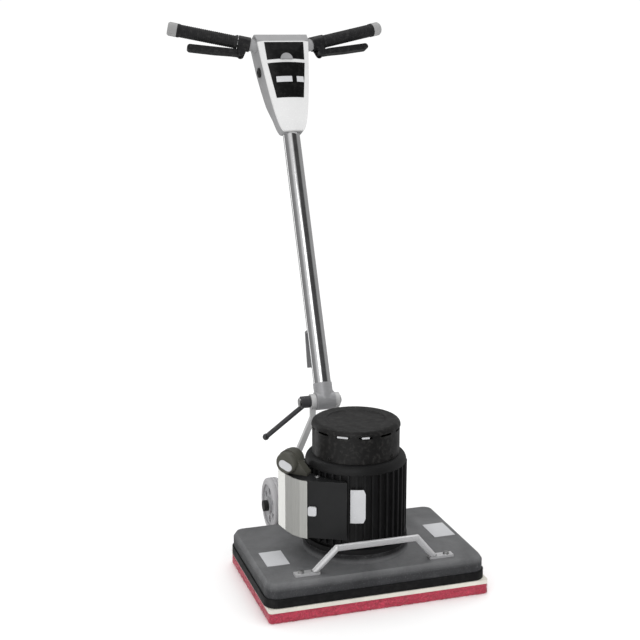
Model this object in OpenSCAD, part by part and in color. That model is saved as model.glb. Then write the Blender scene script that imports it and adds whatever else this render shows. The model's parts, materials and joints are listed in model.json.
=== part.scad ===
// Orbital floor machine with a rectangular pad head and a tilting handle.
// Origin: on the floor, under the motor shaft. +X runs along the head's long side,
// +Y towards the operator and the transport wheels, +Z up.

/* [Floor pad] */
// Length of the floor pad
pad_len = 457; // [445:1:465]
// Width of the floor pad
pad_wid = 305; // [298:1:312]
// Thickness of the floor pad
pad_thick = 22; // [20:1:24]
// Thickness of the pad holder above it
holder_thick = 8; // [8:1:11]
// Radius of the pad's orbit, the eccentric's offset
orbit = 3; // [2:0.5:4]

/* [Deck] */
// Length of the deck shell
deck_len = 453; // [444:1:456]
// Width of the deck shell
deck_wid = 294; // [290:1:298]
// Depth of the skirt and the bevel together
deck_height = 46; // [44:1:48]
// Radius of the deck's corners
deck_corner = 24; // [20:1:32]

/* [Motor] */
// Radius over the cooling fins
fin_r = 104; // [102:0.5:106]
// Number of cooling fins
fin_count = 40; // [24:2:48]
// Height of the finned frame
frame_height = 154; // [150:1:158]
// Radius of the fan cover
cover_r = 90; // [86:1:92]
// Height of the fan cover up to its lid
cover_height = 58; // [50:1:60]
// Number of air slots in the fan cover
slot_count = 12; // [8:1:14]

/* [Wheels] */
// Radius of a transport wheel
wheel_r = 60; // [56:1:64]
// Width of a transport wheel
wheel_w = 26; // [22:1:28]
// Distance of the wheels and the handle pivot behind the motor shaft
rear_y = 212; // [210:1:220]
// Height of the axle
axle_z = 94; // [90:1:98]

/* [Handle] */
// Height of the handle pivot
pivot_z = 323; // [315:1:330]
// Backward lean of the handle as stored
lean = 24; // [0:1:45]
// Radius of the handle tube
tube_r = 19; // [17:0.5:19]
// Distance along the handle from the pivot to the console's foot
console_foot = 606; // [590:1:620]
// Length of the console along the handle
console_len = 234; // [230:1:238]
// Half width of the console at its top
console_half = 62; // [60:1:64]

/* [Hidden] */
$fn = 64;
fit = 0.02;              // seat of a part that stays put
run = 0.05;              // radial clearance of a shaft that turns
pivot_y = rear_y - 4;
holder_z = pad_thick;
plate_z = holder_z + holder_thick;
skirt_z = plate_z + 2;
deck_top = skirt_z + deck_height;
deck_wall = 6;
deck_roof = deck_top - 8;
plinth_top = deck_top + 18;
plinth_r = 107;
plinth_hollow = 92;
bolt_circle = 98;
base_bolt_angles = [65, 155, 245, 335];
base_z = plinth_top;
frame_z = base_z + 10;
bell_z = frame_z + frame_height;
bell_r = fin_r - 1.5;
bell_top = bell_z + 18;
motor_bore = 88;
frame_r = 97;
shaft_r = 12.5;
stub_r = 10;
journal_r = 12;
big_bearing_r = 26;
small_bearing_r = 20;
isolator_x = 150;
isolator_y = 90;
box_floor = frame_z + 25;
box_top = box_floor + 118;
can_r = 22;
can_len = 48;
can_at = [-138.4, -2, box_top + can_r + 1];
can_turn = -43;
bracket_x = 84;
bracket_t = 6;
wheel_in = 102;
axle_r = 8;
pivot_r = 6;
leg_w = 11;
leg_x = 26.7;
leg_low_x = bracket_x - leg_w / 2;
socket_top = 38;
console_top = console_foot + console_len;
split_y = -20;
split_z = console_top - 23;
shell_t = 2.6;
bar_r = 11;
bar_mid = [0, -12, console_top - 41];
bar_end = [248, 17, console_top + 27];
bar_dir = bar_end - bar_mid;
bar_len = norm(bar_dir);
grip_r = 14.5;
boss_r = 13.9;
boss_span = [54, 75];    // along the bar, through the console's side wall
trigger_pin = [25, 0, 92];
carry_r = 6.5;
carry_top = [83, -131, 131];
carry_foot = [124, -118, deck_top + 4];
upper_inset = [772, 814];
lower_inset = [682, 764];
inlet = [9, 757];

// ---- shared shapes ----

// Points of an arc from angle a to angle b, both ends included.
function arc(cx, cy, r, a, b, n = 8) =
    [for (i = [0:n]) [cx + r * cos(a + (b - a) * i / n), cy + r * sin(a + (b - a) * i / n)]];

// Outline of a rectangle with rounded corners, centred on the origin.
function rounded(l, w, r) = concat(
    arc(l / 2 - r, w / 2 - r, r, 0, 90),
    arc(r - l / 2, w / 2 - r, r, 90, 180),
    arc(r - l / 2, r - w / 2, r, 180, 270),
    arc(l / 2 - r, r - w / 2, r, 270, 360));

module plate(l, w, r, z, h) {
    translate([0, 0, z])
        linear_extrude(h)
            polygon(rounded(l, w, r));
}

module ring(outer, inner, z, h) {
    translate([0, 0, z])
        difference() {
            cylinder(h = h, r = outer);
            translate([0, 0, -1]) cylinder(h = h + 2, r = inner);
        }
}

// A round bar from point a to point b.
module rod(a, b, r) {
    d = b - a;
    translate(a)
        rotate([0, acos(d[2] / norm(d)), atan2(d[1], d[0])])
            cylinder(h = norm(d), r = r, $fn = 32);
}

// A disc or bar of length l along +X, starting at point at.
module along_x(at, l, r) {
    translate(at) rotate([0, 90, 0]) cylinder(h = l, r = r);
}

module both_sides() {
    children();
    mirror([1, 0, 0]) children();
}

module four_corners(x, y) {
    for (sx = [-1, 1], sy = [-1, 1]) translate([sx * x, sy * y, 0]) children();
}

// Extrudes an outline drawn in X and Z along Y, from y to y + h.
module slab_y(y, h, points) {
    translate([0, y + h, 0]) rotate([90, 0, 0]) linear_extrude(h) polygon(points);
}

// Extrudes an outline drawn in Y and Z along X, from x to x + h.
module slab_x(x, h, points) {
    translate([x, 0, 0]) rotate([90, 0, 90]) linear_extrude(h) polygon(points);
}

// Handle frame: origin on the pivot, +Z up the tube, -Y towards the front.
module on_handle() {
    translate([0, pivot_y, pivot_z]) rotate([-lean, 0, 0]) children();
}

// Right half of the handlebar: +Z outwards along the bar, +X below it.
module on_bar() {
    on_handle()
        translate(bar_mid)
            rotate([0, acos(bar_dir[2] / bar_len), atan2(bar_dir[1], bar_dir[0])])
                children();
}

// ---- head ----

module floor_pad() {
    color("crimson")
        translate([orbit, 0, 0]) plate(pad_len, pad_wid, 9, 0, pad_thick);
}

module pad_holder() {
    color("ivory")
        translate([orbit, 0, 0]) plate(pad_len, pad_wid, 7, holder_z, holder_thick);
}

module driver_plate() {
    rib_h = 7;
    color("silver")
        translate([orbit, 0, 0])
            difference() {
                union() {
                    plate(deck_len - 32, deck_wid - 32, 24, plate_z, 6);
                    translate([0, 0, plate_z]) cylinder(h = 24, r = 36);
                    for (a = [0, 90])
                        rotate([0, 0, a])
                            translate([-110, -4, plate_z + 5]) cube([220, 8, rib_h]);
                }
                translate([0, 0, plate_z + 9]) cylinder(h = 30, r = big_bearing_r + fit);
            }
}

module eccentric_bearing() {
    color("gainsboro")
        translate([orbit, 0, 0]) ring(big_bearing_r, journal_r + run, plate_z + 10, 12);
}

module deck_shell() {
    color([0.27, 0.28, 0.3])
        difference() {
            union() {
                hull() {
                    plate(deck_len, deck_wid, deck_corner, skirt_z, deck_height - 9);
                    plate(deck_len - 12, deck_wid - 12, deck_corner - 6, deck_top - 1, 1);
                }
                translate([0, 0, deck_top - 1]) cylinder(h = 19, r1 = 109, r2 = plinth_r);
            }
            plate(deck_len - 2 * deck_wall, deck_wid - 2 * deck_wall, 18,
                  skirt_z - 1, deck_roof - skirt_z + 1);
            translate([0, 0, deck_roof - 1])
                cylinder(h = plinth_top - deck_roof - 5, r = plinth_hollow);
            cylinder(h = plinth_top + 1, r = 30);
            deck_bolt_places() bolt_hole();
        }
}

module deck_bumper() {
    color([0.08, 0.08, 0.09])
        difference() {
            plate(deck_len + 6, deck_wid + 6, deck_corner + 3, skirt_z - 1.6, 17.6);
            plate(deck_len + 0.1, deck_wid + 0.1, deck_corner, skirt_z - 2, 19.5);
        }
}

module label_plates() {
    color("gainsboro") {
        translate([-204, -62, deck_top]) cube([46, 68, 0.8]);
        translate([166, -26, deck_top]) cube([46, 68, 0.8]);
    }
}

// Places of the hex bolts that go down into the deck: motor base, lift handle and brackets.
module deck_bolt_places() {
    for (a = base_bolt_angles)
        rotate([0, 0, a]) translate([bolt_circle, 0, base_z + 10]) children();
    both_sides() {
        translate([carry_foot[0] + 28, carry_foot[1], deck_top + 5]) children();
        for (y = [111, 129])
            translate([bracket_x + 19, y, deck_top + 5]) children();
    }
}

module bolt_hole() {
    translate([0, 0, -17]) cylinder(h = 30, r = 3 + fit, $fn = 24);
}

module deck_bolts() {
    color("silver")
        deck_bolt_places() {
            cylinder(h = 4.5, r = 6.5, $fn = 6);
            translate([0, 0, -12]) cylinder(h = 12, r = 3, $fn = 24);
        }
}

module isolators() {
    color([0.1, 0.1, 0.1])
        four_corners(isolator_x, isolator_y)
            translate([0, 0, plate_z + 6.5])
                cylinder(h = deck_roof - plate_z - 6.5, r = 14);
}

module carry_handle() {
    color("silver")
        difference() {
            union() {
                rod([-carry_top[0], carry_top[1], carry_top[2]], carry_top, carry_r);
                both_sides() {
                    rod(carry_foot, carry_top, carry_r);
                    translate(carry_top) sphere(r = carry_r + 0.3);
                    translate([carry_foot[0] - 9, carry_foot[1] - 8, deck_top])
                        cube([50, 16, 5]);
                }
            }
            deck_bolt_places() bolt_hole();
            translate([-200, -150, deck_top - 20]) cube([400, 100, 20]);
        }
}

// ---- motor ----

module motor_base() {
    color([0.1, 0.1, 0.11])
        difference() {
            union() {
                translate([0, 0, base_z]) cylinder(h = 10, r = 105.5);
                translate([0, 0, base_z + 9]) cylinder(h = 7, r = motor_bore - fit);
            }
            translate([0, 0, base_z + 3]) cylinder(h = 20, r = big_bearing_r + fit);
            translate([0, 0, base_z - 1]) cylinder(h = 20, r = shaft_r + 3);
            deck_bolt_places() bolt_hole();
        }
}

module lower_bearing() {
    color("gainsboro") ring(big_bearing_r, shaft_r + run, base_z + 3, 13);
}

module motor_frame() {
    root_r = frame_r - 1;
    color([0.08, 0.08, 0.09])
        difference() {
            union() {
                ring(frame_r, motor_bore, frame_z, frame_height);
                for (i = [0:fin_count - 1])
                    rotate([0, 0, i * 360 / fin_count])
                        translate([root_r, -1.6, frame_z + 6])
                            cube([fin_r - root_r, 3.2, frame_height - 6]);
            }
            for (a = base_bolt_angles)
                rotate([0, 0, a])
                    translate([bolt_circle, 0, frame_z - 1]) cylinder(h = 14, r = 9);
        }
}

module stator_core() {
    color("dimgray") ring(motor_bore - fit, 59, frame_z + 30, 86);
}

module stator_windings() {
    color("peru")
        for (z = [frame_z + 15, frame_z + 117])
            ring(82, 62, z, 14);
}

module end_bell() {
    color([0.08, 0.08, 0.09])
        rotate_extrude($fn = 96)
            polygon(concat(
                [[motor_bore, bell_z], [bell_r, bell_z]],
                arc(bell_r - 16, bell_top - 16, 16, 0, 70),
                [[cover_r - 4, bell_top], [small_bearing_r + fit, bell_top],
                 [small_bearing_r + fit, bell_top - 14], [34, bell_top - 14],
                 [34, bell_top - 7], [motor_bore, bell_top - 12]]));
}

module upper_bearing() {
    color("gainsboro") ring(small_bearing_r, stub_r + run, bell_top - 12, 12);
}

module fan_cover() {
    wall = 2.5;
    shoulder = 11;
    ring_r = 58;
    dip = 2;
    lid = bell_top + cover_height;
    top = lid + 10;
    wall_r = cover_r - 1.5;
    color([0.12, 0.12, 0.13])
        difference() {
            rotate_extrude($fn = 96)
                polygon(concat(
                    [[0, top - dip], [0, top - dip - wall], [cover_r - 16, top - dip - wall]],
                    [[wall_r - wall, lid - 4], [wall_r - wall, bell_top], [wall_r, bell_top]],
                    [[wall_r, lid - 1.5], [cover_r, lid - 1.5]],
                    arc(cover_r - shoulder, top - shoulder, shoulder, 0, 90, 6),
                    [[ring_r + 3, top], [ring_r, top - dip]]));
            for (i = [0:slot_count - 1])
                rotate([0, 0, i * 360 / slot_count - 96.5])
                    translate([cover_r - 8, -14, lid - 6]) cube([16, 28, 5]);
        }
}

module motor_screw_places() {
    for (a = [35:90:305])
        rotate([0, 0, a])
            translate([cover_r - 1.5, 0, bell_top + 6]) rotate([0, 90, 0]) children();
    translate([-97, -50, box_top]) children();
}

module motor_screws() {
    color("silver")
        motor_screw_places() cylinder(h = 2.5, r = 4, $fn = 24);
}

module nameplate() {
    low = frame_z + 57;
    color("gainsboro")
        intersection() {
            ring(fin_r + 1.2, fin_r + 0.1, low - 1, 71);
            rotate([0, 0, -107])
                slab_x(90, 30, [[-14, low], [12, low], [16, low + 9], [16, low + 60],
                                [12, low + 69], [-14, low + 69]]);
        }
}

// Plan of the electrical box beside the motor, shrunk inwards by g.
function box_plan(g) = [
    [-53, -103.5 + g], [-125 + g, -68 + g], [-136 + g, -57], [-146 + g, -40],
    [-153 + g, -14], [-158 + g, 20 - g], [-98, 42 - g], [-60, 0]];

module control_box() {
    color([0.13, 0.13, 0.14])
        difference() {
            translate([0, 0, box_floor])
                linear_extrude(box_top - box_floor) polygon(box_plan(2.5));
            translate([0, 0, box_floor + 3])
                linear_extrude(box_top - box_floor - 6) polygon(box_plan(6));
            translate([0, 0, box_floor - 1]) cylinder(h = 200, r = fin_r + 0.3);
        }
}

module box_side_cover() {
    color("silver")
        difference() {
            translate([0, 0, box_floor - 1])
                linear_extrude(box_top - box_floor + 1) polygon(box_plan(0));
            translate([0, 0, box_floor - 2])
                linear_extrude(box_top) polygon(box_plan(2.5));
            translate([-124, -120, 0]) cube([150, 200, 400]);
        }
}

module box_latch() {
    color("gainsboro")
        translate([-125, -68, box_floor + 47])
            rotate([0, 0, -26.2])
                slab_y(-2, 4, [for (p = rounded(17, 19, 4)) [p[0] + 11, p[1] + 10]]);
}

module on_can() {
    translate(can_at) rotate([0, 0, can_turn]) rotate([90, 0, 0]) children();
}

module capacitor_can() {
    edge = 7;
    color([0.25, 0.25, 0.22])
        on_can()
            rotate_extrude($fn = 64)
                polygon(concat(
                    [[0, -can_len / 2]],
                    arc(can_r - edge, edge - can_len / 2, edge, -90, 0),
                    arc(can_r - edge, can_len / 2 - edge, edge, 0, 90),
                    [[0, can_len / 2]]));
}

module capacitor_strap() {
    color("dimgray")
        difference() {
            union() {
                on_can() translate([0, 0, -8]) cylinder(h = 16, r = can_r + 1.5);
                translate([can_at[0], can_at[1], box_top]) rotate([0, 0, can_turn])
                    slab_y(-12, 20, [[-14, 0], [42, 0], [42, 5], [20, 31], [-14, 31]]);
            }
            on_can() cylinder(h = 80, r = can_r + fit, center = true);
            translate([-200, -50, box_top - 10]) cube([200, 100, 10]);
            cylinder(h = 400, r = bell_r + 0.4);
        }
}

// ---- rotating parts of the motor ----

module motor_shaft() {
    color("silver") {
        translate([0, 0, plate_z + 28]) cylinder(h = bell_top - 14 - plate_z - 28, r = shaft_r);
        translate([0, 0, bell_top - 15]) cylinder(h = 40, r = stub_r);
        translate([orbit, 0, plate_z + 10]) cylinder(h = 19, r = journal_r);
    }
}

module rotor_core() {
    color("gray") ring(58, shaft_r + fit, frame_z + 24, 86);
}

module cooling_fan() {
    blades = 8;
    color("black")
        difference() {
            union() {
                translate([0, 0, bell_top + 5]) cylinder(h = 2.5, r = 60);
                translate([0, 0, bell_top + 5]) cylinder(h = 18, r = 17);
                for (i = [0:blades - 1])
                    rotate([0, 0, i * 360 / blades])
                        translate([12, -1.2, bell_top + 6]) cube([62, 2.4, 18]);
            }
            translate([0, 0, bell_top]) cylinder(h = 30, r = stub_r + fit);
        }
}

module counterweight() {
    color("slategray")
        difference() {
            ring(78, shaft_r + fit, plate_z + 31, 12);
            translate([22, -90, plate_z]) cube([90, 180, 60]);
            for (s = [-1, 1])
                rotate([0, 0, s * 90]) translate([24, s * 10 - 100, plate_z]) cube([90, 100, 60]);
        }
}

// ---- transport wheels and yoke ----

module axle_brackets() {
    web = concat(
        [[102, deck_top], [150, deck_top]],
        arc(rear_y, axle_z, 18, -100, 0),
        [[rear_y + 12, axle_z + 30], [rear_y + 12, 152], [rear_y - 12, 152],
         [rear_y - 16, axle_z + 22], [150, deck_top + 26], [102, deck_top + 14]]);
    color("gainsboro")
        both_sides()
            difference() {
                union() {
                    slab_x(bracket_x, bracket_t, web);
                    translate([bracket_x + bracket_t - 1, 102, deck_top]) cube([25, 37, 5]);
                }
                along_x([bracket_x - 1, rear_y, axle_z], bracket_t + 2, axle_r + fit);
                deck_bolt_places() bolt_hole();
            }
}

module yoke_leg() {
    h = leg_w / 2;
    color("gainsboro")
        difference() {
            union() {
                slab_y(pivot_y - h, leg_w,
                       [[leg_low_x - h, 116], [leg_low_x + h, 116], [leg_low_x + h, 172],
                        [leg_x + h, 288], [leg_x + h, pivot_z], [leg_x - h, pivot_z],
                        [leg_x - h, 284], [leg_low_x - h, 168]]);
                along_x([leg_x - h, pivot_y, pivot_z], leg_w, 16);
            }
            along_x([leg_x - h - 1, pivot_y, pivot_z], leg_w + 2, pivot_r + fit);
        }
}

module yoke_leg_right() { yoke_leg(); }

module yoke_leg_left() { mirror([1, 0, 0]) yoke_leg(); }

module wheel_axle() {
    reach = wheel_in + wheel_w + 8;
    color("silver") along_x([-reach, rear_y, axle_z], 2 * reach, axle_r);
}

module axle_caps() {
    face = wheel_in + wheel_w + 1;
    color([0.15, 0.15, 0.16])
        both_sides()
            difference() {
                along_x([face, rear_y, axle_z], 10, 12);
                along_x([face - 1, rear_y, axle_z], 8.1, axle_r + fit);
            }
}

module tyre() {
    color([0.45, 0.45, 0.47])
        translate([wheel_in, rear_y, axle_z])
            rotate([0, 90, 0])
                rotate_extrude($fn = 96)
                    polygon(concat(
                        [[46, 0]],
                        arc(wheel_r - 7, 7, 7, -90, 0),
                        arc(wheel_r - 7, wheel_w - 7, 7, 0, 90),
                        [[46, wheel_w]]));
}

module wheel_hub() {
    color([0.55, 0.55, 0.57])
        difference() {
            union() {
                along_x([wheel_in + 4, rear_y, axle_z], wheel_w - 8, 46 - fit);
                along_x([wheel_in - 10, rear_y, axle_z], wheel_w + 10.5, 18);
            }
            along_x([wheel_in - 20, rear_y, axle_z], wheel_w + 40, axle_r + run);
            for (i = [0:5])
                translate([wheel_in, rear_y, axle_z])
                    rotate([i * 60, 0, 0])
                        along_x([-1, 0, 32], wheel_w + 2, 8);
        }
}

module tyre_right() { tyre(); }

module tyre_left() { mirror([1, 0, 0]) tyre(); }

module wheel_hub_right() { wheel_hub(); }

module wheel_hub_left() { mirror([1, 0, 0]) wheel_hub(); }

module pivot_bolt() {
    hub_out = 54;
    color("silver") {
        along_x([-hub_out - 3, pivot_y, pivot_z], hub_out + 39, pivot_r);
        along_x([-hub_out - 4, pivot_y, pivot_z], 4, 9);
        along_x([leg_x + leg_w / 2, pivot_y, pivot_z], 4, 9);
    }
}

module tilt_lever() {
    tip = [-122, pivot_y + 37, pivot_z - 83];
    hub = [-46, pivot_y + 4.6, pivot_z - 8.9];
    color([0.2, 0.2, 0.21])
        difference() {
            union() {
                along_x([-53.5, pivot_y, pivot_z], 19.5, 13);
                rod(hub, tip, 5.5);
                translate(tip) sphere(r = 7.5);
            }
            along_x([-70, pivot_y, pivot_z], 40, pivot_r + run);
        }
}

// ---- handle ----

module handle_socket() {
    color([0.3, 0.3, 0.32])
        on_handle()
            difference() {
                union() {
                    along_x([-20.6, 0, 0], 41.2, 20);
                    cylinder(h = socket_top, r = 20.6);
                }
                translate([0, 0, 9]) cylinder(h = socket_top, r = tube_r + fit);
                along_x([-30, 0, 0], 60, pivot_r + run);
            }
}

module handle_tube() {
    color("silver") on_handle() ring(tube_r, tube_r - 2, 9, console_foot + 60);
}

// Half width of the console at the share u of its length, from foot to top.
function console_width(u) = tube_r + 3 + (console_half - tube_r - 3) * pow(u, 0.55);

// The console's outer form, shrunk inwards by g.
module console_form(g) {
    steps = 16;
    crown = 150;
    top = console_top - g;
    right = [for (i = [0:steps])
        [console_width(pow(i / steps, 1.6)) - g,
         console_foot + g + (top - g - console_foot) * pow(i / steps, 1.6)]];
    left = [for (i = [steps:-1:0]) [-right[i][0], right[i][1]]];
    intersection() {
        slab_y(-60, 120, concat(right, left));
        slab_x(-80, 160,
               [[g - 32, console_foot + g], [g - 42, console_foot + 60], [g - 40, console_top - 96],
                [g - 34, console_top - 46], [g - 30, split_z], [g - 12, top],
                [30 - g, top], [38 - g, console_top - 16], [38 - g, console_foot + 160],
                [33 - g, console_foot + 114], [27 - g, console_foot + 74],
                [11 - g, console_foot + 36], [9 - g, console_foot + g]]);
        translate([0, crown - 29 + g, console_foot]) rotate([2.3, 0, 0])
            translate([0, 0, -20]) cylinder(h = console_len + 40, r = crown, $fn = 160);
    }
}

// The part of the console's front taken by an inset, between two heights.
module inset_region(span, low_half, high_half) {
    slab_y(-44, 44, [[-low_half, span[0]], [low_half, span[0]],
                     [high_half, span[1]], [-high_half, span[1]]]);
}

module upper_region() { inset_region(upper_inset, 43.5, 46); }

module lower_region() { inset_region(lower_inset, 31.5, 43.5); }

// Arch of the lock button, grown by c.
module button_region(c) {
    low = upper_inset[0] - 1;
    slab_y(-39 - c, 17 + 2 * c,
           concat(arc(0, low, 14 + c, 0, 180, 12), [[-14 - c, low - c], [14 + c, low - c]]));
}

module console_shell() {
    difference() {
        console_form(0);
        console_form(shell_t);
        translate([0, 0, console_foot - 5]) cylinder(h = 75, r = tube_r + fit);
        both_sides() rod(bar_mid, bar_end, bar_r + fit);
    }
}

// The space of the console's front shield.
module shield_space() {
    translate([-100, split_y - 100, console_foot - 1])
        cube([200, 100, split_z - console_foot + 1]);
}

module console_front() {
    color("lightgray")
        on_handle()
            difference() {
                intersection() {
                    console_shell();
                    shield_space();
                }
                difference() {
                    union() {
                        upper_region();
                        lower_region();
                    }
                    console_form(1.5);
                }
                button_region(0.4);
            }
}

// A point on the right half of the handlebar, l from its middle.
function bar_point(l) = bar_mid + bar_dir * l / bar_len;

module console_back() {
    color("gray")
        on_handle()
            difference() {
                union() {
                    difference() {
                        console_shell();
                        shield_space();
                    }
                    both_sides() rod(bar_point(boss_span[0]), bar_point(boss_span[1]), boss_r);
                }
                both_sides() rod(bar_mid, bar_end, bar_r + fit);
                along_x([-80, inlet[0], inlet[1]], 60, 8 + fit);
            }
}

module inset_upper() {
    color([0.05, 0.05, 0.05])
        on_handle()
            difference() {
                intersection() {
                    console_form(-0.5);
                    upper_region();
                }
                console_form(1.5);
                button_region(0.4);
            }
}

module inset_lower() {
    color([0.05, 0.05, 0.05])
        on_handle()
            difference() {
                intersection() {
                    console_form(-0.5);
                    lower_region();
                }
                console_form(1.5);
            }
}

module console_bars() {
    color("gainsboro")
        on_handle()
            difference() {
                intersection() {
                    console_form(-1.3);
                    union() {
                        translate([-28, -46, 718]) cube([36, 40, 13]);
                        translate([19, -46, 718]) cube([17, 40, 13]);
                    }
                }
                console_form(-0.5);
            }
}

module lock_button() {
    color("gray") on_handle() button_region(0);
}

module handlebar() {
    color("silver")
        on_handle() {
            both_sides() rod(bar_mid - bar_dir * 0.008, bar_end, bar_r);
        }
}

module grip_sleeve() {
    color([0.06, 0.06, 0.07])
        on_bar()
            difference() {
                union() {
                    translate([0, 0, 104]) cylinder(h = 138, r = grip_r);
                    translate([0, 0, 104]) cylinder(h = 5, r = grip_r + 2);
                    translate([0, 0, 236]) cylinder(h = 6, r = grip_r + 1);
                }
                cylinder(h = 300, r = bar_r + fit);
            }
}

module grip_right() { grip_sleeve(); }

module grip_left() { mirror([1, 0, 0]) grip_sleeve(); }

module grip_caps() {
    color("gainsboro")
        both_sides()
            on_bar()
                difference() {
                    union() {
                        translate([0, 0, 242]) cylinder(h = 17, r = grip_r + 1);
                        translate([0, 0, 259]) cylinder(h = 4, r1 = grip_r + 1, r2 = grip_r - 2);
                    }
                    cylinder(h = bar_len + 0.1, r = bar_r + fit);
                }
}

module grip_collars() {
    pin = trigger_pin;
    ear = concat([[8, pin[2] - 12], [8, pin[2] + 8]], arc(pin[0], pin[2], 8, 90, -90));
    color([0.1, 0.1, 0.11])
        both_sides()
            on_bar()
                difference() {
                    union() {
                        translate([0, 0, boss_span[1] + 0.3])
                            cylinder(h = 102.7 - boss_span[1], r = 16.5);
                        for (y = [-12.5, 9.3]) slab_y(y, 3.2, ear);
                        translate([pin[0], 12, pin[2]])
                            rotate([90, 0, 0]) cylinder(h = 24, r = 3);
                    }
                    cylinder(h = 300, r = bar_r + fit);
                }
}

module trigger() {
    blade = concat(
        [[20, 86], [20, 112], [29, 204]],
        arc(36, 206, 7, 180, 0),
        [[38, 150], [33, 112], [32, 98], [28, 86]]);
    color([0.07, 0.07, 0.08])
        on_bar()
            difference() {
                slab_y(-8.8, 17.6, blade);
                translate([trigger_pin[0], 20, trigger_pin[2]])
                    rotate([90, 0, 0]) cylinder(h = 40, r = 3 + run);
            }
}

module trigger_right() { trigger(); }

module trigger_left() { mirror([1, 0, 0]) trigger(); }

module trigger_switch() {
    color("dimgray")
        on_handle() translate([-14, -2, console_foot + 112]) cube([28, 28, 40]);
}

module cord_inlet() {
    color([0.07, 0.07, 0.08])
        on_handle()
            difference() {
                union() {
                    along_x([-58, inlet[0], inlet[1]], 20, 8);
                    along_x([-57, inlet[0], inlet[1]], 12, 11);
                }
                along_x([-70, inlet[0], inlet[1]], 30, 4.5);
                intersection() {
                    console_form(0.01);
                    difference() {
                        along_x([-80, inlet[0], inlet[1]], 60, 20);
                        along_x([-90, inlet[0], inlet[1]], 80, 8);
                    }
                }
            }
}

// A cord hook: saddle on the tube, arm, and a lip that leans away.
module lower_cord_hook() {
    color("lightgray")
        on_handle()
            difference() {
                slab_x(-11, 22,
                       [[8, 112], [23, 112], [23, 156], [42, 156], [59, 82], [64, 84],
                        [48, 162], [23, 162], [23, 186], [8, 186]]);
                cylinder(h = 300, r = tube_r + fit);
            }
}

module upper_cord_hook() {
    face = 38;
    low = console_top - 104;
    color("lightgray")
        on_handle()
            difference() {
                slab_x(-11, 22,
                       [[face - 12, low], [face + 3, low], [face + 3, low + 12],
                        [face + 28, low + 12], [face + 36, low + 65], [face + 31, low + 66],
                        [face + 23, low + 18], [face + 4, low + 18], [face + 4, low + 58],
                        [face - 12, low + 58]]);
                console_form(-0.02);
            }
}

deck_shell();
deck_bumper();
label_plates();
carry_handle();
deck_bolts();
isolators();
motor_base();
lower_bearing();
motor_frame();
stator_core();
stator_windings();
end_bell();
upper_bearing();
fan_cover();
motor_screws();
nameplate();
control_box();
box_side_cover();
box_latch();
capacitor_can();
capacitor_strap();
axle_brackets();
yoke_leg_left();
yoke_leg_right();
wheel_axle();
axle_caps();
pivot_bolt();
motor_shaft();
rotor_core();
cooling_fan();
counterweight();
eccentric_bearing();
driver_plate();
pad_holder();
floor_pad();
handle_socket();
handle_tube();
console_front();
console_back();
inset_upper();
inset_lower();
console_bars();
handlebar();
grip_collars();
grip_left();
grip_right();
grip_caps();
cord_inlet();
lower_cord_hook();
upper_cord_hook();
trigger_switch();
lock_button();
trigger_left();
trigger_right();
tilt_lever();
tyre_left();
wheel_hub_left();
tyre_right();
wheel_hub_right();
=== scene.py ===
import json
import math
import random
import bmesh
import bpy
import numpy as np
from mathutils import Matrix, Vector


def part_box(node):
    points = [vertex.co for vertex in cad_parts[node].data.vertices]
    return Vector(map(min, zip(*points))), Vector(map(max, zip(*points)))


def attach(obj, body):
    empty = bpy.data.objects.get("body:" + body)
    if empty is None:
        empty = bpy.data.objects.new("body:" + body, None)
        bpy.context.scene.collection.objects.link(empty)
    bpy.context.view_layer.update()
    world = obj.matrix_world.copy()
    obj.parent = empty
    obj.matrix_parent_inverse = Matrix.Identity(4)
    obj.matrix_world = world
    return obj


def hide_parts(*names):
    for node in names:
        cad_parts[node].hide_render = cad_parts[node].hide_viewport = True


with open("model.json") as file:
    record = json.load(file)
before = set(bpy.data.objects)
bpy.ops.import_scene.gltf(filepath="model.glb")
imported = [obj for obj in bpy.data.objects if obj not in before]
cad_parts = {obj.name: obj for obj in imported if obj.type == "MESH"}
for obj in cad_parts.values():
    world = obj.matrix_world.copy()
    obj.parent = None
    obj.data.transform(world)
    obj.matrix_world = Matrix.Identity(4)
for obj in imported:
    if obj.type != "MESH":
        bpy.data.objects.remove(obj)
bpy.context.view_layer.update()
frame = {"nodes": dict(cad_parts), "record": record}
NODES = frame["nodes"]
TAU = 2 * math.pi


# ---- camera, light and floor ----

CAMERA_AT = (-0.790, -2.255, 1.110)
CAMERA_AIM = (-0.0759, 0, 0.5540)
CAMERA_LENS = 69.9
FLOOR_HALF = 9

# Area lights: (name, place, size, power). Both point at the machine.
LIGHTS = [("key", (-1.6, -2.6, 2.4), 1.4, 10), ("top", (0.3, 0.9, 3.0), 2.0, 14)]
LIGHT_AIM = (0, 0, 0.3)

# Brightness of the white backdrop, as the camera and matt surfaces see it.
BACKDROP = 1.04
# What shiny surfaces mirror, by compass angle: (degrees from the front, brightness).
ROOM = [(-180, 0.20), (-155, 0.22), (-150, 1.5), (-142, 1.5), (-137, 0.20), (-85, 0.26),
        (-62, 0.65), (-26, 0.75), (-8, 0.30), (-2, 0.06), (56, 0.05), (72, 0.30), (130, 0.35),
        (180, 0.20)]
ROOM_PEAK = 1.5


def aim(obj, target):
    """Turns a camera or light so that its -Z axis points at target."""
    way = Vector(target) - obj.location
    obj.rotation_mode = "QUATERNION"
    obj.rotation_quaternion = way.to_track_quat("-Z", "Y")


def make_camera():
    data = bpy.data.cameras.new("camera")
    data.lens, data.sensor_width = CAMERA_LENS, 36
    data.clip_start, data.clip_end = 0.05, 60
    camera = bpy.data.objects.new("camera", data)
    camera.location = CAMERA_AT
    bpy.context.collection.objects.link(camera)
    aim(camera, CAMERA_AIM)
    bpy.context.scene.camera = camera


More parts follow.
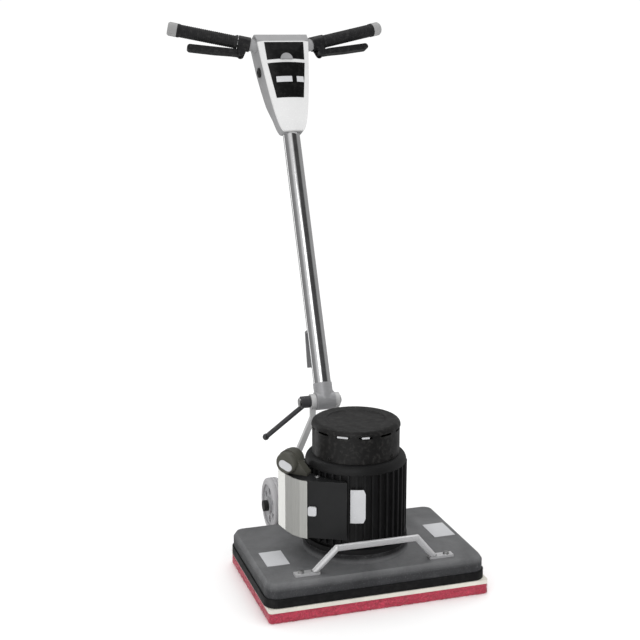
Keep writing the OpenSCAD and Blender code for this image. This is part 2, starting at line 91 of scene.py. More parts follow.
def soft_light(name, place, size, power):
    data = bpy.data.lights.new(name, "AREA")
    data.shape, data.size, data.energy = "SQUARE", size, power
    light = bpy.data.objects.new(name, data)
    light.location = place
    bpy.context.collection.objects.link(light)
    aim(light, LIGHT_AIM)


def compass_share(tree):
    """Compass angle of a world ray, as a share from 0 to 1 with the front at 0.5."""
    coord = tree.nodes.new("ShaderNodeTexCoord")
    split = tree.nodes.new("ShaderNodeSeparateXYZ")
    flip = tree.nodes.new("ShaderNodeMath")
    angle = tree.nodes.new("ShaderNodeMath")
    share = tree.nodes.new("ShaderNodeMapRange")
    flip.operation, angle.operation = "MULTIPLY", "ARCTAN2"
    flip.inputs[1].default_value = -1
    share.inputs["From Min"].default_value = -math.pi
    share.inputs["From Max"].default_value = math.pi
    tree.links.new(coord.outputs["Generated"], split.inputs[0])
    tree.links.new(split.outputs["Y"], flip.inputs[0])
    tree.links.new(split.outputs["X"], angle.inputs[0])
    tree.links.new(flip.outputs[0], angle.inputs[1])
    tree.links.new(angle.outputs[0], share.inputs["Value"])
    return share.outputs["Result"]


def make_world():
    """Plain white backdrop; shiny surfaces see a room with bright and dark sides."""
    world = bpy.data.worlds.new("studio")
    bpy.context.scene.world = world
    world.use_nodes = True
    tree = world.node_tree
    tree.nodes.clear()
    band = tree.nodes.new("ShaderNodeValToRGB")
    ray = tree.nodes.new("ShaderNodeLightPath")
    room = tree.nodes.new("ShaderNodeBackground")
    white = tree.nodes.new("ShaderNodeBackground")
    mix = tree.nodes.new("ShaderNodeMixShader")
    out = tree.nodes.new("ShaderNodeOutputWorld")
    set_ramp(band, [((at + 180) / 360, (v / ROOM_PEAK,) * 3) for at, v in ROOM])
    room.inputs["Strength"].default_value = ROOM_PEAK
    white.inputs["Color"].default_value = (1, 1, 1, 1)
    white.inputs["Strength"].default_value = BACKDROP
    tree.links.new(compass_share(tree), band.inputs[0])
    tree.links.new(band.outputs[0], room.inputs["Color"])
    tree.links.new(ray.outputs["Is Glossy Ray"], mix.inputs[0])
    tree.links.new(white.outputs[0], mix.inputs[1])
    tree.links.new(room.outputs[0], mix.inputs[2])
    tree.links.new(mix.outputs[0], out.inputs["Surface"])


def make_floor():
    """White floor. It is hidden from shiny surfaces, which mirror the room instead."""
    bm = bmesh.new()
    bmesh.ops.create_grid(bm, x_segments=2, y_segments=2, size=FLOOR_HALF)
    floor = add_mesh("floor", bm)
    floor.data.materials.append(floor_finish())
    floor.visible_glossy = False


def make_studio():
    make_world()
    for light in LIGHTS:
        soft_light(*light)
    bpy.context.scene.view_settings.view_transform = "Standard"


# ---- mesh helpers ----

def add_mesh(name, bm, smooth=True):
    mesh = bpy.data.meshes.new(name)
    bmesh.ops.recalc_face_normals(bm, faces=bm.faces)
    bm.to_mesh(mesh)
    bm.free()
    for face in mesh.polygons:
        face.use_smooth = smooth
    obj = bpy.data.objects.new(name, mesh)
    bpy.context.collection.objects.link(obj)
    return obj


def points_of(name):
    """All points of a CAD node, one per row."""
    mesh = NODES[name].data
    flat = np.empty(len(mesh.vertices) * 3)
    mesh.vertices.foreach_get("co", flat)
    return flat.reshape(-1, 3)


def islands(name):
    """The points of each separate solid of a CAD node."""
    bm = bmesh.new()
    bm.from_mesh(NODES[name].data)
    bmesh.ops.remove_doubles(bm, verts=bm.verts, dist=1e-6)
    left, found = set(bm.verts), []
    while left:
        front = [left.pop()]
        group = []
        while front:
            vert = front.pop()
            group.append(tuple(vert.co))
            for edge in vert.link_edges:
                other = edge.other_vert(vert)
                if other in left:
                    left.discard(other)
                    front.append(other)
        found.append(np.array(group))
    bm.free()
    return sorted(found, key=lambda g: tuple(g.mean(0).round(4)))


def turned_about(centre, axis):
    """Matrix that puts local Z along axis, at centre."""
    spin = Vector(axis).to_track_quat("Z", "Y").to_matrix().to_4x4()
    return Matrix.Translation(Vector(centre)) @ spin


def lathe(bm, profile, sides, place=None, closed=True):
    """Turns an outline of (radius, height) pairs about Z. closed joins its two ends."""
    place = place or Matrix()
    rings = []
    for r, z in profile:
        ring = [bm.verts.new(place @ Vector((r * math.cos(TAU * i / sides),
                                             r * math.sin(TAU * i / sides), z)))
                for i in range(sides)]
        rings.append(ring)
    last = len(rings) if closed else len(rings) - 1
    for k in range(last):
        low, high = rings[k], rings[(k + 1) % len(rings)]
        for i in range(sides):
            j = (i + 1) % sides
            bm.faces.new((low[i], low[j], high[j], high[i]))


def prism(bm, outline, low, high, place=None):
    """A straight prism with the given outline, from height low to high."""
    place = place or Matrix()
    base = [bm.verts.new(place @ Vector((x, y, low))) for x, y in outline]
    top = [bm.verts.new(place @ Vector((x, y, high))) for x, y in outline]
    count = len(outline)
    for i in range(count):
        j = (i + 1) % count
        bm.faces.new((base[i], base[j], top[j], top[i]))
    bm.faces.new(base[::-1])
    bm.faces.new(top)


def soften(obj, width, angle=30):
    """Small round edges, with flat faces kept flat in the shading."""
    bevel = obj.modifiers.new("edge", "BEVEL")
    bevel.width, bevel.segments = width, 2
    bevel.limit_method, bevel.angle_limit = "ANGLE", math.radians(angle)
    bevel.harden_normals = True


def split_rims(obj, angle):
    """Keeps edges sharper than angle crisp on a smooth piece."""
    obj.modifiers.new("rim", "EDGE_SPLIT").split_angle = math.radians(angle)


# ---- material helpers ----

def set_ramp(node, stops):
    """Fills a colour ramp with (position, colour) stops."""
    ramp = node.color_ramp
    while len(ramp.elements) > 1:
        ramp.elements.remove(ramp.elements[-1])
    ramp.elements[0].position = stops[0][0]
    ramp.elements[0].color = (*stops[0][1], 1)
    for at, colour in stops[1:]:
        ramp.elements.new(at).color = (*colour, 1)


class Finish:
    """A Principled material whose colour, roughness and relief come from procedural nodes."""

    def __init__(self, name, rough=0.5, metal=0.0, **sockets):
        self.material = bpy.data.materials.new(name)
        self.material.use_nodes = True
        self.tree = self.material.node_tree
        self.shader = self.tree.nodes["Principled BSDF"]
        self.shader.inputs["Metallic"].default_value = metal
        self.shader.inputs["Roughness"].default_value = rough
        for key, value in sockets.items():
            self.shader.inputs[key.replace("_", " ")].default_value = value
        self.coord = self.node("ShaderNodeTexCoord").outputs["Object"]

    def node(self, kind, **values):
        """A new node. Each key is the name of a socket, with _ for a space."""
        made = self.tree.nodes.new(kind)
        for key, value in values.items():
            made.inputs[key.replace("_", " ")].default_value = value
        return made

    def link(self, a, b):
        self.tree.links.new(a, b)

    def stretched(self, scale, turn=(0, 0, 0)):
        mapping = self.node("ShaderNodeMapping", Scale=scale, Rotation=turn)
        self.link(self.coord, mapping.inputs["Vector"])
        return mapping.outputs["Vector"]

    def noise(self, scale, detail=4, rough=0.55, vector=None, warp=0.0):
        made = self.node("ShaderNodeTexNoise", Scale=scale, Detail=detail, Roughness=rough,
                         Distortion=warp)
        self.link(vector or self.coord, made.inputs["Vector"])
        return made.outputs["Fac"]

    def cells(self, scale, vector=None):
        made = self.node("ShaderNodeTexVoronoi", Scale=scale)
        self.link(vector or self.coord, made.inputs["Vector"])
        return made.outputs["Distance"]

    def span(self, value, low, high, start=0.3, end=0.7):
        """Runs from low to high while value goes from start to end, and stays there."""
        made = self.node("ShaderNodeMapRange", From_Min=start, From_Max=end, To_Min=low,
                         To_Max=high)
        self.link(value, made.inputs["Value"])
        return made.outputs["Result"]

    def ramp(self, value, stops):
        made = self.node("ShaderNodeValToRGB")
        set_ramp(made, stops)
        self.link(value, made.inputs["Fac"])
        return made.outputs["Color"]

    def mix(self, share, a, b):
        """a where share is 0, b where it is 1. Each of the three is a socket or a value."""
        made = self.tree.nodes.new("ShaderNodeMix")
        made.data_type = "RGBA"
        for socket, value in ((made.inputs[0], share), (made.inputs[6], a), (made.inputs[7], b)):
            if isinstance(value, bpy.types.NodeSocket):
                self.link(value, socket)
            elif isinstance(value, tuple):
                socket.default_value = (*value, 1)
            else:
                socket.default_value = value
        return made.outputs[2]

    def worn_edges(self, radius, strength):
        """0 on flat faces, rising in patches to strength on outer and inner edges."""
        bevel = self.tree.nodes.new("ShaderNodeBevel")
        bevel.samples = 4
        bevel.inputs["Radius"].default_value = radius
        facing = self.tree.nodes.new("ShaderNodeNewGeometry")
        dot = self.tree.nodes.new("ShaderNodeVectorMath")
        dot.operation = "DOT_PRODUCT"
        self.link(bevel.outputs[0], dot.inputs[0])
        self.link(facing.outputs["Normal"], dot.inputs[1])
        edge = self.span(dot.outputs["Value"], strength, 0.0, 0.80, 0.995)
        patch = self.span(self.noise(55, 5, 0.7), 0.0, 1.0, 0.42, 0.62)
        times = self.tree.nodes.new("ShaderNodeMath")
        times.operation = "MULTIPLY"
        self.link(edge, times.inputs[0])
        self.link(patch, times.inputs[1])
        return times.outputs[0]

    def colour(self, output):
        self.link(output, self.shader.inputs["Base Color"])
        return self

    def roughness(self, output):
        self.link(output, self.shader.inputs["Roughness"])
        return self

    def relief(self, height, depth, strength=1.0):
        """Adds a bump on top of any bump already there."""
        made = self.node("ShaderNodeBump", Strength=strength, Distance=depth)
        self.link(height, made.inputs["Height"])
        old = self.shader.inputs["Normal"].links
        if old:
            self.link(old[0].from_socket, made.inputs["Normal"])
        self.link(made.outputs["Normal"], self.shader.inputs["Normal"])
        return self


def shade(colour, factor):
    """The colour made lighter or darker."""
    return tuple(min(1.0, c * factor) for c in colour)


def painted(name, colour, rough=(0.3, 0.42), wear=(0.5, 0.5, 0.5), wear_share=0.25,
            cloud=0.16, peel=0.00005):
    """Sprayed paint: faint clouding, orange peel, small scuffs and rubbed edges."""
    f = Finish(name, Specular_IOR_Level=0.35)
    cloud_low, cloud_high = shade(colour, 1 - cloud), shade(colour, 1 + cloud)
    base = f.ramp(f.noise(9, 6, 0.6), [(0.3, cloud_low), (0.7, cloud_high)])
    specks = f.span(f.noise(420, 2, 0.5), 0.0, 0.35, 0.60, 0.75)
    base = f.mix(specks, base, shade(colour, 1.5))
    base = f.mix(f.worn_edges(0.0012, wear_share), base, wear)
    f.colour(base)
    f.roughness(f.span(f.noise(26, 6, 0.65), rough[0], rough[1]))
    f.relief(f.noise(520, 2, 0.4), peel, 0.6)
    return f.material


def moulded(name, colour, rough=(0.42, 0.58), grain=900, depth=0.00008, cloud=0.12,
            wear_share=0.18, dusty=0.10):
    """Moulded plastic or rubber with a fine leathery grain."""
    f = Finish(name, Specular_IOR_Level=0.3)
    base = f.ramp(f.noise(14, 5, 0.6),
                  [(0.3, shade(colour, 1 - cloud)), (0.7, shade(colour, 1 + cloud))])
    dust = f.span(f.noise(130, 6, 0.7), 0.0, dusty, 0.5, 0.75)
    base = f.mix(dust, base, (0.30, 0.29, 0.27))
    base = f.mix(f.worn_edges(0.001, wear_share), base, shade(colour, 2.6))
    f.colour(base)
    f.roughness(f.span(f.noise(60, 5, 0.6), rough[0], rough[1]))
    f.relief(f.cells(grain), depth, 0.5)
    f.relief(f.noise(grain * 2.2, 2, 0.5), depth * 0.6, 0.4)
    return f.material


def brushed(name, colour, along=(1, 1, 60), rough=(0.28, 0.42), streak=0.10, metal=1.0,
            depth=0.00002):
    """Metal with fine parallel brush marks. along has its large values across the marks."""
    f = Finish(name, metal=metal)
    grain = f.noise(18, 6, 0.7, f.stretched(along))
    base = f.ramp(grain, [(0.3, shade(colour, 1 - streak)), (0.7, shade(colour, 1 + streak))])
    smudge = f.span(f.noise(13, 5, 0.6, warp=0.6), 0.0, 0.25, 0.5, 0.8)
    f.colour(f.mix(smudge, base, shade(colour, 0.8)))
    f.roughness(f.span(grain, rough[0], rough[1]))
    f.relief(grain, depth, 0.5)
    return f.material


def polished(name, colour, rough=(0.05, 0.16), cloud=0.05):
    """Chrome: nearly a mirror, with hazy patches, fine scratches and a few specks."""
    f = Finish(name, metal=1.0)
    haze = f.noise(24, 6, 0.7, warp=0.8)
    scratch = f.noise(30, 4, 0.8, f.stretched((90, 90, 3)))
    base = f.ramp(haze, [(0.3, shade(colour, 1 - cloud)), (0.7, shade(colour, 1 + cloud))])
    pits = f.span(f.noise(300, 3, 0.6), 0.0, 0.3, 0.66, 0.76)
    f.colour(f.mix(pits, base, (0.30, 0.29, 0.28)))
    f.roughness(f.span(haze, rough[0], rough[1]))
    f.relief(scratch, 0.00002, 0.35)
    return f.material


def fibre_felt(name, deep, light):
    """Non-woven nylon web: tangled strands with painted shade between them, and grit caught inside.
    """
    f = Finish(name, rough=0.85, Sheen_Weight=0.35, Specular_IOR_Level=0.25)
    knot = f.noise(60, 8, 0.75, warp=1.4)
    strand_a = f.noise(240, 5, 0.8, f.stretched((1.0, 1.0, 5.0)), warp=2.0)
    strand_b = f.cells(330, f.stretched((1.6, 0.7, 2.2), (0.4, 0.3, 0.9)))
    web = f.mix(0.5, strand_a, strand_b)
    # Painted shade: the deep colour fills the gaps between strands, and the knots darken patches
    # towards it.
    base = f.ramp(web, [(0.22, deep), (0.5, light), (0.8, shade(light, 1.5))])
    base = f.mix(f.span(knot, 0.0, 0.45, 0.35, 0.7), base, shade(deep, 1.2))
    grit = f.span(f.noise(520, 2, 0.5), 0.0, 0.7, 0.68, 0.76)
    f.colour(f.mix(grit, base, (0.75, 0.62, 0.60)))
    f.relief(web, 0.0009, 0.9)
    f.relief(f.noise(900, 3, 0.7), 0.0003, 0.7)
    return f.material


def floor_finish():
    f = Finish("floor_white", Specular_IOR_Level=0.0)
    tone = f.noise(3, 4, 0.5)
    f.colour(f.ramp(tone, [(0.3, (0.98, 0.98, 0.98)), (0.7, (0.995, 0.995, 0.995))]))
    f.roughness(f.span(f.noise(40, 4), 0.55, 0.7))
    return f.material


# Heights over which the deck's colour changes, in metres: from the painted shade of the skirt to
# the painted sheen of the top, then to the black painted shade of the plinth.
SHADED_SKIRT_TO_LIT_TOP = (0.062, 0.0765)
TOP_TO_SHADED_PLINTH = (0.0820, 0.0900)


def deck_paint():
    """Textured charcoal paint: lighter on top as a painted sheen, darker down the skirt as painted
    shade, and black on the plinth as painted shade under the motor.
    """
    f = Finish("deck_charcoal", Specular_IOR_Level=0.4)
    cloud = f.noise(10, 7, 0.65, warp=0.5)
    # Painted light: the lighter colour is a painted sheen on the top face, the darker one painted
    # shade down the sides.
    top = f.ramp(cloud, [(0.3, (0.094, 0.096, 0.099)), (0.7, (0.166, 0.168, 0.172))])
    shaded_skirt = f.ramp(cloud, [(0.3, (0.022, 0.023, 0.025)), (0.7, (0.050, 0.051, 0.055))])
    split = f.tree.nodes.new("ShaderNodeSeparateXYZ")
    f.link(f.coord, split.inputs[0])
    height = split.outputs["Z"]
    base = f.mix(f.span(height, 0.0, 1.0, *SHADED_SKIRT_TO_LIT_TOP), shaded_skirt, top)
    # Painted shade: the plinth round the motor's foot turns near black.
    base = f.mix(f.span(height, 0.0, 1.0, *TOP_TO_SHADED_PLINTH), base, (0.012, 0.012, 0.013))
    specks = f.span(f.noise(380, 2, 0.5), 0.0, 0.4, 0.58, 0.72)
    base = f.mix(specks, base, (0.16, 0.16, 0.165))
    drag = f.noise(5, 8, 0.75, f.stretched((1, 5, 1), (0, 0, 0.5)), 1.2)
    base = f.mix(f.span(drag, 0.0, 0.22, 0.56, 0.70), base, (0.17, 0.17, 0.175))
    f.colour(f.mix(f.worn_edges(0.0018, 0.4), base, (0.24, 0.24, 0.25)))
    f.roughness(f.span(f.noise(30, 6, 0.65), 0.42, 0.62))
    f.relief(f.noise(620, 3, 0.5), 0.00016, 0.7)
    return f.material


def motor_paint():
    """Satin black with a coarse orange peel, as on a rough casting."""
    return painted("motor_black", (0.0085, 0.0085, 0.0090), rough=(0.40, 0.58),
                   wear=(0.10, 0.10, 0.105), cloud=0.3, peel=0.00012)


def make_finishes():
    """Material slot of the record -> Blender material."""
    return {
        "pad_red": fibre_felt("pad_red", (0.16, 0.012, 0.024), (0.56, 0.055, 0.10)),
        "holder_white": moulded("holder_white", (0.72, 0.69, 0.62), rough=(0.45, 0.6), grain=500),
        "driver_metal": brushed("driver_metal", (0.6, 0.6, 0.61), along=(4, 4, 4)),
        "bearing_steel": brushed("bearing_steel", (0.62, 0.62, 0.63), along=(1, 1, 50)),
        "deck_charcoal": deck_paint(),
        "bumper_black": moulded("bumper_black", (0.007, 0.007, 0.0076), rough=(0.5, 0.68),
                                dusty=0.04),
        "label_light": painted("label_light", (0.56, 0.565, 0.58), rough=(0.3, 0.45),
                               wear=(0.4, 0.4, 0.4), wear_share=0.2, cloud=0.08),
        "chrome": polished("chrome", (0.83, 0.83, 0.84)),
        "chrome_satin": brushed("chrome_satin", (0.80, 0.80, 0.81), along=(2, 60, 60),
                                rough=(0.25, 0.38), streak=0.06, metal=0.6),
        "bolt_steel": brushed("bolt_steel", (0.5, 0.5, 0.5), along=(30, 30, 4)),
        "motor_black": motor_paint(),
        "core_steel": brushed("core_steel", (0.25, 0.25, 0.25), along=(1, 1, 90)),
        "winding_copper": brushed("winding_copper", (0.55, 0.25, 0.10), along=(1, 1, 90)),
        "cover_black": moulded("cover_black", (0.0095, 0.0092, 0.0092), rough=(0.32, 0.5),
                               grain=700, depth=0.00006),
        "box_black": painted("box_black", (0.0105, 0.0108, 0.0115), rough=(0.36, 0.5),
                             wear=(0.2, 0.2, 0.2), wear_share=0.3, cloud=0.2),
        "box_silver": brushed("box_silver", (0.54, 0.54, 0.515), along=(60, 60, 1),
                              rough=(0.05, 0.11), streak=0.12, metal=0.5, depth=0.000004),
        "can_dark": painted("can_dark", (0.075, 0.074, 0.062), rough=(0.25, 0.4),
                            wear=(0.3, 0.3, 0.28), wear_share=0.3, cloud=0.2),
        "yoke_grey": painted("yoke_grey", (0.48, 0.48, 0.48), rough=(0.3, 0.45),
                             wear=(0.15, 0.15, 0.15), cloud=0.12),
        "cap_black": moulded("cap_black", (0.018, 0.018, 0.018)),
        "socket_grey": brushed("socket_grey", (0.40, 0.40, 0.41), along=(4, 4, 20),
                               rough=(0.4, 0.55), metal=0.45),
        "console_silver": painted("console_silver", (0.68, 0.68, 0.68), rough=(0.28, 0.4),
                                  wear=(0.35, 0.35, 0.35), wear_share=0.2, cloud=0.06),
        "console_grey": moulded("console_grey", (0.28, 0.28, 0.285), rough=(0.45, 0.6), grain=700),
        "inset_black": moulded("inset_black", (0.004, 0.004, 0.004), rough=(0.25, 0.4),
                               grain=1200, depth=0.00003, wear_share=0.1, dusty=0.05),
        "grip_black": moulded("grip_black", (0.014, 0.014, 0.015), rough=(0.55, 0.75),
                              grain=1100, depth=0.00012),
        "cap_light": moulded("cap_light", (0.32, 0.32, 0.32), rough=(0.4, 0.55), grain=600),
        "trigger_black": moulded("trigger_black", (0.010, 0.010, 0.011), rough=(0.35, 0.5)),
        "hook_grey": moulded("hook_grey", (0.17, 0.17, 0.175), rough=(0.4, 0.55), grain=700),
        "lever_dark": painted("lever_dark", (0.045, 0.045, 0.048), rough=(0.3, 0.45),
                              wear=(0.3, 0.3, 0.3), wear_share=0.35, cloud=0.2),
        "tyre_grey": moulded("tyre_grey", (0.42, 0.415, 0.425), rough=(0.6, 0.8), grain=500,
                             depth=0.00014),
        "hub_grey": moulded("hub_grey", (0.36, 0.36, 0.37), rough=(0.45, 0.6), grain=700),
    }


# ---- pieces that stand for CAD nodes ----

def finished(obj, body, slot, *nodes):
    """Gives a piece its finish, material slot, body and, if any, the CAD nodes it replaces."""
    obj.data.materials.append(FINISH[slot])
    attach(obj, body)
    if nodes:
        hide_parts(*nodes)
    return obj


CORNER_STEPS = 6


def rounded_outline(lo, hi, radius, step):
    """Points and outward normals round a rectangle with round corners."""
    found = []
    corners = [((hi[0] - radius, hi[1] - radius), 0), ((lo[0] + radius, hi[1] - radius), 90),
               ((lo[0] + radius, lo[1] + radius), 180), ((hi[0] - radius, lo[1] + radius), 270)]
    for k, (centre, start) in enumerate(corners):
        for i in range(CORNER_STEPS + 1):
            a = math.radians(start + 90 * i / CORNER_STEPS)
            n = (math.cos(a), math.sin(a))
            here = (centre[0] + radius * n[0], centre[1] + radius * n[1])
            found.append((here, n))
        following = corners[(k + 1) % 4][0]
        there = (following[0] + radius * n[0], following[1] + radius * n[1])
        count = max(2, round(math.dist(here, there) / step))
        for i in range(1, count):
            t = i / count
            found.append(((here[0] + (there[0] - here[0]) * t,
                           here[1] + (there[1] - here[1]) * t), n))
    return found


def strand(bm, points, radius):
    """A thin three-sided fibre along a few points."""
    rings = []
    for i, p in enumerate(points):
        way = points[min(i + 1, len(points) - 1)] - points[max(i - 1, 0)]
        side = way.cross(Vector((0.3, 0.5, 0.8))).normalized()
        other = way.cross(side).normalized()
        r = radius * (0.5 if i in (0, len(points) - 1) else 1.0)
        rings.append([bm.verts.new(p + side * r * math.cos(TAU * k / 3)
                                   + other * r * math.sin(TAU * k / 3)) for k in range(3)])
    for a, b in zip(rings, rings[1:]):
        for k in range(3):
            bm.faces.new((a[k], a[(k + 1) % 3], b[(k + 1) % 3], b[k]))
    bm.faces.new(rings[0][::-1])
    bm.faces.new(rings[-1])


PAD_CORNER = 0.009
PAD_STEP = 0.0035
# Side of the pad as (height, how far it is drawn in): up from the underside, then down from
# the top face.
PAD_LOWER = [(0.0, 0.0028), (0.0005, 0.0012), (0.0022, 0.0004), (0.005, 0.0), (0.008, 0.0),
             (0.011, 0.0), (0.014, 0.0), (0.017, 0.0002)]
PAD_UPPER = [(0.0018, 0.0005), (0.0004, 0.0012), (0.0, 0.003)]
# Lumps of the cut edge: their spread, and the least and most that each one digs in.
LUMP_SPREAD, LUMP_OUT, LUMP_IN = 0.00045, -0.0008, 0.0012
# Keeps the lumps inside the CAD pad.
LUMP_ROOM = 0.0009
FIBRES, FIBRES_QUICK = 5200, 400
FIBRE_RADIUS = (0.00010, 0.00022)
FIBRE_LENGTH = (0.003, 0.009)
FIBRE_TILT = (-0.9, 0.9)
FIBRE_DEPTH = (0.0002, 0.0012)
FIBRE_BOW = (0.0, 0.0011)
FIBRE_RIM = 0.0015
# How far inside the CAD pad's box a fibre stays, along X, Y and Z.
FIBRE_ROOM = (0.0006, 0.0006, 0.0004)


def pad_slab(bm, rng, edge, bottom, thick):
    """Slab with a lumpy cut edge, its faces drawn in a little at the rims."""
    rings = []
    for z, inward in PAD_LOWER + [(thick - down, inward) for down, inward in PAD_UPPER]:
        ring = []
        for (x, y), n in edge:
            lump = rng.gauss(0, LUMP_SPREAD) if 0 < z < thick else 0
            dig = inward + max(LUMP_OUT, min(LUMP_IN, lump)) + LUMP_ROOM
            ring.append(bm.verts.new((x - n[0] * dig, y - n[1] * dig, bottom + z)))
        rings.append(ring)
    for a, b in zip(rings, rings[1:]):
        for i in range(len(edge)):
            j = (i + 1) % len(edge)
            bm.faces.new((a[i], a[j], b[j], b[i]))
    bm.faces.new(rings[0][::-1])
    bm.faces.new(rings[-1])


def fibre_path(rng, edge, lo, hi):
    """Four points of a loose fibre that lies along the pad's side and bows outwards."""
    (x, y), n = edge[rng.randrange(len(edge))]
    along, out = Vector((-n[1], n[0], 0)), Vector((n[0], n[1], 0))
    z = lo[2] + rng.uniform(FIBRE_RIM, hi[2] - lo[2] - FIBRE_RIM)
    tilt = rng.uniform(*FIBRE_TILT)
    length = rng.uniform(*FIBRE_LENGTH)
    start = Vector((x, y, z)) - out * rng.uniform(*FIBRE_DEPTH)
    way = along * math.cos(tilt) * rng.choice((-1, 1)) + Vector((0, 0, math.sin(tilt)))
    bow = out * rng.uniform(*FIBRE_BOW)
    path = [start + way * length * t + bow * math.sin(math.pi * t) for t in (0, 0.35, 0.7, 1)]
    for point in path:
        for k, room in enumerate(FIBRE_ROOM):
            point[k] = min(max(point[k], lo[k] + room), hi[k] - room)
    return path


def pad_web():
    """The floor pad: a matted slab with loose fibres on its sides."""
    rng = random.Random(11)
    lo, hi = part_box("floor_pad")
    edge = rounded_outline(lo, hi, PAD_CORNER, PAD_STEP)
    bm = bmesh.new()
    pad_slab(bm, rng, edge, lo[2], hi[2] - lo[2])
    for _ in range(FIBRES):
        path = fibre_path(rng, edge, lo, hi)
        strand(bm, path, rng.uniform(*FIBRE_RADIUS))
    obj = finished(add_mesh("pad_web", bm), "pad", "pad_red", "floor_pad")


def bar_frame(name):
    """Centre, unit axis pointing outwards and length of a round CAD node."""
    pts = points_of(name)
    centre = pts.mean(0)
    _, _, axes = np.linalg.svd(pts - centre, full_matrices=False)
    axis = axes[0] * (1 if axes[0][0] * centre[0] > 0 else -1)
    along = (pts - centre) @ axis
    middle = centre + axis * (along.min() + along.max()) / 2
    return Vector(middle), Vector(axis), float(along.max() - along.min())


# Grip outline as (radius, height); the bead's heights are measured down from the outer end.
GRIP_BORE, GRIP_BODY = 0.0110, 0.0138
GRIP_FLANGE = [(0.0158, 0), (0.0164, 0.0012), (0.0164, 0.0038), (0.0150, 0.0056)]
GRIP_BEAD = [(GRIP_BODY + 0.0008, 0.0066), (0.0153, 0.0052), (0.0153, 0.0012), (0.0146, 0)]
# Ribs: where they start and stop, their pitch, and one rib as (height, share of the pitch).
RIBS_START, RIBS_STOP, RIB_PITCH = 0.009, 0.010, 0.0046
RIB = [(0, 0), (0.0007, 0.22), (0.0007, 0.62), (0, 0.84)]


def grip_outline(length):
    profile = [(GRIP_BORE, 0)] + GRIP_FLANGE
    z = RIBS_START
    while z < length - RIBS_STOP:
        profile += [(GRIP_BODY + high, z + RIB_PITCH * share) for high, share in RIB]
        z += RIB_PITCH
    profile += [(radius, length - down) for radius, down in GRIP_BEAD]
    return profile + [(GRIP_BORE, length)]


def ribbed_grip(side):
    """Rubber grip: inner flange, ribbed hand zone and an outer bead."""
    node = f"grip_{side}"
    middle, axis, length = bar_frame(node)
    bm = bmesh.new()
    place = turned_about(middle - axis * length / 2, axis)
    lathe(bm, grip_outline(length), sides=56, place=place)
    obj = add_mesh(f"grip_rubber_{side}", bm)
    split_rims(obj, angle=50)
    finished(obj, "handle", "grip_black", node)


TYRE_BORE = 0.046
SHOULDER, SHOULDER_STEPS = 0.006, 6
GROOVES = (-0.0032, 0.0032)
# One groove as (depth, place across the tread).
GROOVE = [(0, -0.0016), (0.0014, -0.0009), (0.0014, 0.0009), (0, 0.0016)]


def tyre_outline(half, outer):
    """(radius, height) pairs of a tyre 2 * half wide, from one side over the tread to the other."""
    flat = outer - SHOULDER
    side = [(TYRE_BORE, half), (flat, half)]
    for i in range(1, SHOULDER_STEPS):
        a = math.radians(-90 + 90 * i / SHOULDER_STEPS)
        side.append((flat + SHOULDER * math.cos(a), half - SHOULDER - SHOULDER * math.sin(a)))
    tread = [(outer - deep, at + across) for at in GROOVES for deep, across in GROOVE]
    return [(r, -z) for r, z in side] + tread + side[::-1]


def ribbed_tyre(side):
    """Solid tyre: round shoulders and two shallow grooves."""
    node = f"tyre_{side}"
    lo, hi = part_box(node)
    centre = [(a + b) / 2 for a, b in zip(lo, hi)]
    outline = tyre_outline((hi[0] - lo[0]) / 2, (hi[2] - lo[2]) / 2)
    bm = bmesh.new()
    lathe(bm, outline, sides=96, place=turned_about(centre, (1, 0, 0)))
    obj = add_mesh(f"tyre_rubber_{side}", bm)
    split_rims(obj, angle=40)
    finished(obj, f"wheel_{side}", "tyre_grey", node)


def hexagon(radius):
    return [(radius * math.cos(TAU * i / 6), radius * math.sin(TAU * i / 6)) for i in range(6)]


# One bolt. Radii are shares of the washer's; heights are from the seat and from the very top.
BOLT_HEAD = 0.0042
WASHER = [(0, -0.0005), (1, -0.0005), (1, 0.0008), (0.92, 0.0012), (0, 0.0012)]
HEXAGON, HEXAGON_FROM, HEXAGON_BELOW_TOP = 0.86, 0.0010, 0.0008
CROWN = [(0.80, -0.0008), (0.66, -0.0001), (0, 0)]
SHANK = 0.45
# Bolts above this height hold the motor and are painted with it.
MOTOR_BOLTS_ABOVE = 0.090


def hex_bolt(bm, place, foot, top, wide):
    """Washer, hexagon head with a chamfered crown, and the shank down to foot."""
    seat = top - BOLT_HEAD
    washer = [(wide * share, seat + up) for share, up in WASHER]
    crown = [(wide * share, top + up) for share, up in CROWN]
    shank = [(0, foot), (wide * SHANK, foot), (wide * SHANK, seat)]
    lathe(bm, washer, sides=40, place=place, closed=False)
    prism(bm, hexagon(wide * HEXAGON), seat + HEXAGON_FROM, top - HEXAGON_BELOW_TOP, place)
    lathe(bm, crown, sides=36, place=place, closed=False)
    lathe(bm, shank, sides=24, place=place, closed=False)


def hex_bolts():
    """Bolts of the motor, lift handle and axle brackets, each turned a little differently."""
    bm = bmesh.new()
    rng = random.Random(5)
    for group in islands("deck_bolts"):
        lo, hi = group.min(0), group.max(0)
        x, y, _ = (lo + hi) / 2
        spin = Matrix.Rotation(rng.uniform(0, 1), 4, "Z")
        hex_bolt(bm, Matrix.Translation((x, y, 0)) @ spin, lo[2], hi[2], (hi[0] - lo[0]) / 2)
    for face in bm.faces:
        face.material_index = 1 if face.calc_center_median().z > MOTOR_BOLTS_ABOVE else 0
    obj = add_mesh("deck_bolt_heads", bm, smooth=False)
    soften(obj, 0.0003, angle=25)
    finished(obj, "machine", "bolt_steel", "deck_bolts")
    obj.data.materials.append(FINISH["motor_black"])


# A screw less tall than this stands upright; the others point outwards from the fan cover.
UPRIGHT_BELOW = 0.006
UPRIGHT_RADIUS, SIDE_RADIUS = 0.0052, 0.0038


